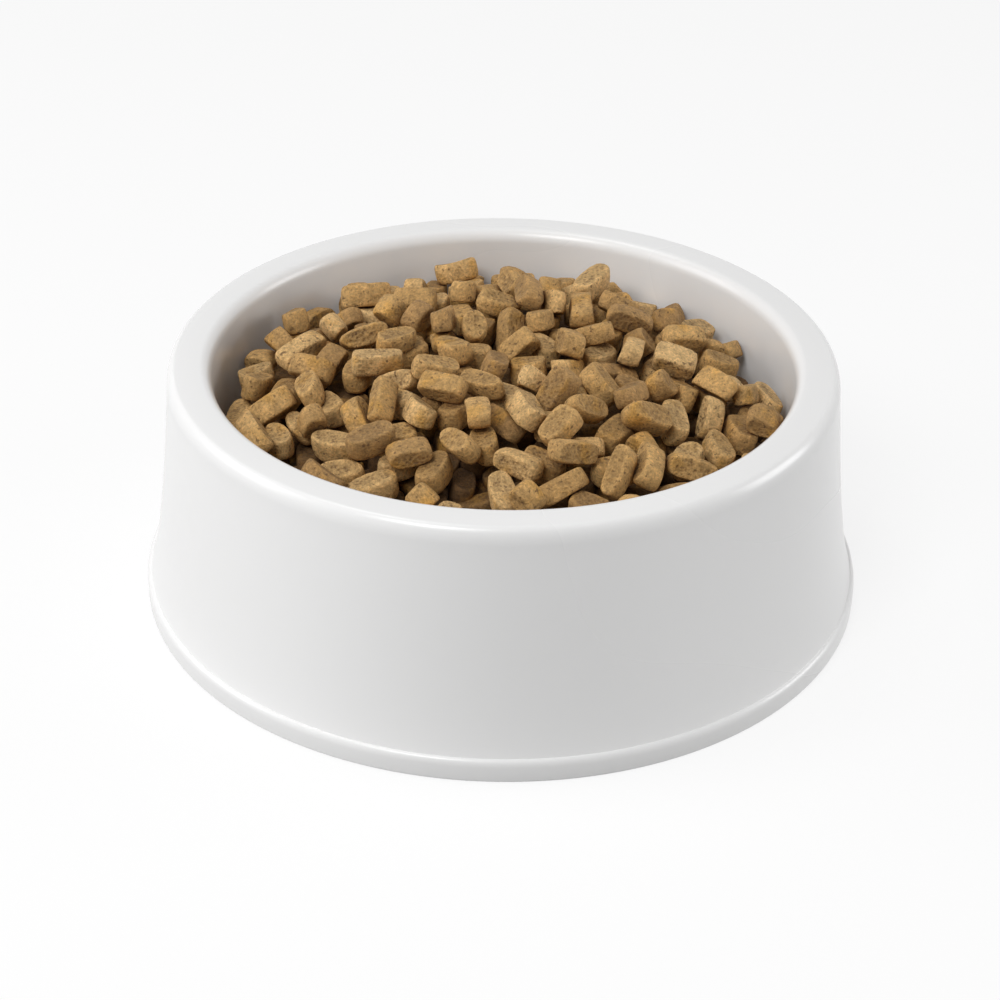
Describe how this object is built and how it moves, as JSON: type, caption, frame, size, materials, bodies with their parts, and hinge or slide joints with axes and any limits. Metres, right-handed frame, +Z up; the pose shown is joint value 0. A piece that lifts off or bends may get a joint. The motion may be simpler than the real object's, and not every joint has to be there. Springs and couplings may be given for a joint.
{
  "type": "filled pet food bowl",
  "caption": "Round white pet bowl with a flared skirt, a foot bead and a broad rounded rim, heaped with loose oblong dry kibble.",
  "frame": {"origin": "middle of the circle that the foot ring stands on", "axes": "+Z up along the bowl's axis, X and Y level; -Y is the side that the picture looks at"},
  "size_m": [0.19, 0.19, 0.065],
  "materials": {
    "shell": "smooth gloss white moulded plastic",
    "kibble": "dry baked meal, rough and matt, golden to grey brown"
  },
  "bodies": {
    "root": {"bowl": "shell", "kibble_bed": "kibble", "kibble_01": "kibble", "kibble_02": "kibble", "kibble_03": "kibble", "kibble_04": "kibble", "kibble_05": "kibble", "kibble_06": "kibble", "kibble_07": "kibble", "kibble_08": "kibble", "kibble_09": "kibble", "kibble_10": "kibble", "kibble_11": "kibble", "kibble_12": "kibble", "kibble_13": "kibble", "kibble_14": "kibble", "kibble_15": "kibble", "kibble_16": "kibble", "kibble_17": "kibble", "kibble_18": "kibble", "kibble_19": "kibble", "kibble_20": "kibble", "kibble_21": "kibble", "kibble_22": "kibble", "kibble_23": "kibble", "kibble_24": "kibble", "kibble_25": "kibble", "kibble_26": "kibble", "kibble_27": "kibble", "kibble_28": "kibble", "kibble_29": "kibble", "kibble_30": "kibble", "kibble_31": "kibble", "kibble_32": "kibble", "kibble_33": "kibble", "kibble_34": "kibble", "kibble_35": "kibble", "kibble_36": "kibble", "kibble_37": "kibble", "kibble_38": "kibble", "kibble_39": "kibble", "kibble_40": "kibble", "kibble_41": "kibble", "kibble_42": "kibble", "kibble_43": "kibble", "kibble_44": "kibble", "kibble_45": "kibble", "kibble_46": "kibble", "kibble_47": "kibble", "kibble_48": "kibble", "kibble_49": "kibble", "kibble_50": "kibble", "kibble_51": "kibble", "kibble_52": "kibble", "kibble_53": "kibble", "kibble_54": "kibble"}
  },
  "joints": []
}
